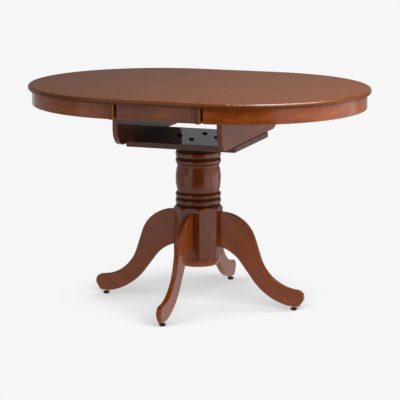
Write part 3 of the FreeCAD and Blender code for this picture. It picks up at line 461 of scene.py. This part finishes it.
SPARK_SCALE = 2600.0
PLASTIC_CLOUD_SCALE = 200.0
PLASTIC_LIGHTER = 1.5
PLASTIC_UNEVEN = (0.05, 0.08)
PLASTIC_BUMP = (0.04 * MM, 0.5)


def scaled(colour, factor):
    return tuple(part * factor for part in colour[:3]) + (1.0,)


def metal(name, colour, roughness, brushing=BRUSHED_LEVEL, metallic=1.0):
    """Plated or blackened metal with fine brushing and slightly uneven colour."""
    material, graph = new_graph(name)
    at = graph.place()
    brushed = graph.stretched_noise(at, brushing)
    cloud = graph.noise(at, *METAL_CLOUD)
    graph.surface(Base_Color=graph.blend(cloud, scaled(colour, METAL_DARKER), colour),
                  Metallic=metallic, Roughness=graph.uneven(brushed, roughness, *METAL_UNEVEN),
                  Normal=graph.bump(brushed, *METAL_BUMP))
    return material


def plastic(name, colour, roughness):
    """Moulded plastic with a fine spark texture."""
    material, graph = new_graph(name)
    at = graph.place()
    spark = graph.noise(at, SPARK_SCALE)
    cloud = graph.noise(at, PLASTIC_CLOUD_SCALE)
    graph.surface(Base_Color=graph.blend(cloud, colour, scaled(colour, PLASTIC_LIGHTER)),
                  Roughness=graph.uneven(spark, roughness, *PLASTIC_UNEVEN),
                  Normal=graph.bump(spark, *PLASTIC_BUMP))
    return material


paint(metal("black_oxide_steel", (0.022, 0.020, 0.019, 1.0), roughness=0.34, metallic=0.6),
      *named("column_bolts", "leg_bolts"))
paint(metal("zinc_plate", (0.52, 0.53, 0.52, 1.0), roughness=0.32),
      *named("leveler_stem", "leveler_inserts"), *[name for name in NODES if "screws" in name])
paint(metal("bright_steel", (0.42, 0.42, 0.43, 1.0), roughness=0.36, brushing=BRUSHED_ALONG_Y),
      *named("pivot_bracket", "pivot_arm"))
paint(metal("satin_brass", (0.62, 0.42, 0.16, 1.0), roughness=0.3, brushing=BRUSHED_ALONG_Z),
      *named("hinges"))
paint(plastic("black_nylon", (0.012, 0.012, 0.013, 1.0), roughness=0.45), *named("leveler_pad"))


# ---------------------------------------------------------------- floor and walls

PALE = 0.922
WHITE = (1.0, 1.0, 1.0, 1.0)
FLOOR_SIZE = 60.0

# The soft shade under the table: how far it reaches, the way that its light comes from, how open
# the floor is where it is lit and where it is darkest, and how bright it is there.
SHADE_REACH = 1.3
SHADE_FROM = (0.24, -0.36, 0.9)
SHADE_OPEN = 0.70
SHADE_SHUT = 0.50
SHADE_DEPTH = 0.66
SHADE_SAMPLES = 32

# Pale walls around the studio, and how the floor glows in front of them: the middle of each in
# degrees, half its width, and how bright it is. 0 is the front and 90 is +X. Between them, and at
# the front, where the photographer stands, it is dark. Each edge is this many degrees soft to both
# sides.
WALLS = ((96.0, 44.0, 0.6),
         (155.0, 15.0, 0.05),
         (185.0, 15.0, 0.25),
         (215.0, 15.0, 0.20),
         (272.0, 40.0, 0.35),
         (337.0, 13.0, 0.85))
FLOOR_GLOWS = ((72.0, 22.0, 0.84),
               (117.0, 23.0, 1.15),
               (158.0, 18.0, 0.28),
               (205.0, 29.0, 0.5),
               (272.0, 40.0, 0.30),
               (329.0, 21.0, 0.62))
WALL_SOFTNESS = 6.0

# The walls end at this height in degrees. Above them is a dim ceiling.
WALL_TOP = 16.0
WALL_FADE = 5.0
CEILING = 0.12

# Near the table the floor glows evenly. Further out it takes on the glow in front of the walls.
POOL_RADIUS = 0.5
POOL_LIGHT = 0.5
WALL_DISTANCE = 1.4


def degrees(graph, angle):
    return graph.math("MULTIPLY", angle, 180.0 / math.pi)


def surround(graph, x, y, walls):
    """How bright the studio is in the level direction of x and y."""
    total = 0.0
    for middle, half, strength in walls:
        sine = math.sin(math.radians(middle))
        cosine = math.cos(math.radians(middle))
        ahead = graph.math("ADD", graph.math("MULTIPLY", x, sine),
                           graph.math("MULTIPLY", y, -cosine))
        aside = graph.math("ADD", graph.math("MULTIPLY", x, cosine),
                           graph.math("MULTIPLY", y, sine))
        off = degrees(graph, graph.math("ABSOLUTE", graph.math("ARCTAN2", aside, ahead)))
        lit = graph.remap(off, half - WALL_SOFTNESS, half + WALL_SOFTNESS, strength, 0.0,
                          smooth=True)
        total = graph.math("ADD", total, lit)
    return total


def seen_by_camera(graph):
    return graph.node("ShaderNodeLightPath").outputs["Is Camera Ray"]


def studio_floor():
    """A pale floor, which isn't part of the object. It is clear from below."""
    mesh = bpy.data.meshes.new("floor")
    half = FLOOR_SIZE / 2
    mesh.from_pydata([(-half, -half, 0), (half, -half, 0), (half, half, 0), (-half, half, 0)], [],
                     [(0, 1, 2, 3)])
    floor = bpy.data.objects.new("floor", mesh)
    bpy.context.scene.collection.objects.link(floor)
    material, graph = new_graph("floor_paper")
    occlusion = graph.node("ShaderNodeAmbientOcclusion", {"samples": SHADE_SAMPLES},
                           Distance=SHADE_REACH, Normal=graph.vector("NORMALIZE", SHADE_FROM))
    shade = graph.remap(occlusion.outputs["AO"], SHADE_SHUT, SHADE_OPEN, SHADE_DEPTH * PALE, PALE,
                        smooth=True)
    seen = graph.node("ShaderNodeEmission", Strength=shade).outputs[0]
    place = graph.place()
    x, y, _ = graph.split(place)
    reach = graph.vector("LENGTH", place)
    pool = graph.remap(reach, POOL_RADIUS, WALL_DISTANCE, POOL_LIGHT, 0.0, smooth=True)
    far = graph.remap(reach, POOL_RADIUS, WALL_DISTANCE, smooth=True)
    glow = graph.math("ADD", pool, graph.math("MULTIPLY", far, surround(graph, x, y, FLOOR_GLOWS)))
    paper = graph.node("ShaderNodeEmission", Strength=glow).outputs[0]
    top = graph.mix(seen_by_camera(graph), paper, seen)
    clear = graph.node("ShaderNodeBsdfTransparent").outputs[0]
    below = graph.node("ShaderNodeNewGeometry").outputs["Backfacing"]
    graph.output(graph.mix(below, top, clear))
    mesh.materials.append(material)


def studio_world():
    """Pale walls up to a low height, and a little light from all over the ceiling."""
    world = bpy.data.worlds.new("studio")
    bpy.context.scene.world = world
    graph = Graph(world)
    x, y, z = graph.split(graph.node("ShaderNodeTexCoord").outputs["Generated"])
    height = degrees(graph, graph.math("ARCSINE", z))
    low = graph.remap(height, WALL_TOP - WALL_FADE, WALL_TOP + WALL_FADE, 1.0, 0.0, smooth=True)
    walls = graph.math("MULTIPLY", low, surround(graph, x, y, WALLS))
    ceiling = graph.math("MULTIPLY", graph.math("SUBTRACT", 1.0, low), CEILING)
    lit = graph.math("ADD", walls, ceiling)
    light = graph.node("ShaderNodeBackground", Color=WHITE, Strength=lit).outputs[0]
    backdrop = scaled(WHITE, PALE)
    seen = graph.node("ShaderNodeBackground", Color=backdrop, Strength=1.0).outputs[0]
    graph.output(graph.mix(seen_by_camera(graph), light, seen), "ShaderNodeOutputWorld")


# ---------------------------------------------------------------- lamps and camera

TABLE_MIDDLE = (0.0, 0.0, 0.5)
RIGHT_EDGE = (0.4, 0.0, 0.75)
LEGS_MIDDLE = (0.0, 0.0, 0.3)

# Each lamp's name, place and aim, its width and height, its watts, and whether gloss mirrors it.
LAMPS = (("key", (0.75, -0.1, 2.05), TABLE_MIDDLE, 1.1, 0.9, 30.0, True),
         ("side", (1.35, -0.6, 1.75), TABLE_MIDDLE, 1.5, 0.4, 9.0, True),
         ("back_rim", (2.3, 0.9, 0.95), RIGHT_EDGE, 1.2, 0.5, 9.0, False),
         ("low_side", (2.0, -1.5, 0.6), LEGS_MIDDLE, 0.9, 0.9, 10.0, False),
         ("left_side", (-2.4, -0.3, 1.2), TABLE_MIDDLE, 1.0, 1.0, 4.5, False),
         ("front_top", (0.9, -1.3, 2.5), TABLE_MIDDLE, 1.0, 1.0, 5.0, True),
         ("left_fill", (-1.1, -2.4, 1.95), TABLE_MIDDLE, 1.5, 1.3, 3.0, True),
         ("right_fill", (1.6, 0.6, 2.4), TABLE_MIDDLE, 1.0, 1.0, 8.0, True))

# The camera's angles in degrees, and its distance from a target at this height over the floor's
# centre. The focal length and the middle of the view are in pixels of a picture of this size, and
# the sensor is in millimetres.
CAMERA_AZIMUTH = 19.991
CAMERA_ELEVATION = 10.969
CAMERA_DISTANCE = 6.058
TARGET_HEIGHT = 0.375
PICTURE = 400.0
FOCAL_PIXELS = 1736.0
AXIS_U = 198.279
AXIS_V = 197.072
SENSOR = 36.0


def softbox(name, place, aim, width, height, power, mirrored):
    """A soft rectangular lamp in a place, turned to a point."""
    lamp = bpy.data.lights.new(name, "AREA")
    lamp.shape = "RECTANGLE"
    lamp.size = width
    lamp.size_y = height
    lamp.energy = power
    obj = bpy.data.objects.new(name, lamp)
    obj.location = place
    obj.rotation_euler = (Vector(place) - Vector(aim)).to_track_quat("Z", "Y").to_euler()
    obj.visible_glossy = mirrored
    bpy.context.scene.collection.objects.link(obj)


def camera():
    """The camera at the viewing angle, shifted as its framing needs."""
    azimuth = math.radians(CAMERA_AZIMUTH)
    elevation = math.radians(CAMERA_ELEVATION)
    lens = bpy.data.cameras.new("camera")
    lens.sensor_width = SENSOR
    lens.lens = FOCAL_PIXELS / PICTURE * SENSOR
    lens.shift_x = (PICTURE / 2 - AXIS_U) / PICTURE
    lens.shift_y = (AXIS_V - PICTURE / 2) / PICTURE
    obj = bpy.data.objects.new("camera", lens)
    direction = Vector((math.sin(azimuth) * math.cos(elevation),
                        -math.cos(azimuth) * math.cos(elevation),
                        math.sin(elevation)))
    obj.location = direction * CAMERA_DISTANCE + Vector((0.0, 0.0, TARGET_HEIGHT))
    obj.rotation_euler = (math.pi / 2 - elevation, 0.0, azimuth)
    bpy.context.scene.collection.objects.link(obj)
    bpy.context.scene.camera = obj


bpy.context.scene.view_settings.view_transform = "Standard"
studio_floor()
studio_world()
for settings in LAMPS:
    softbox(*settings)
camera()
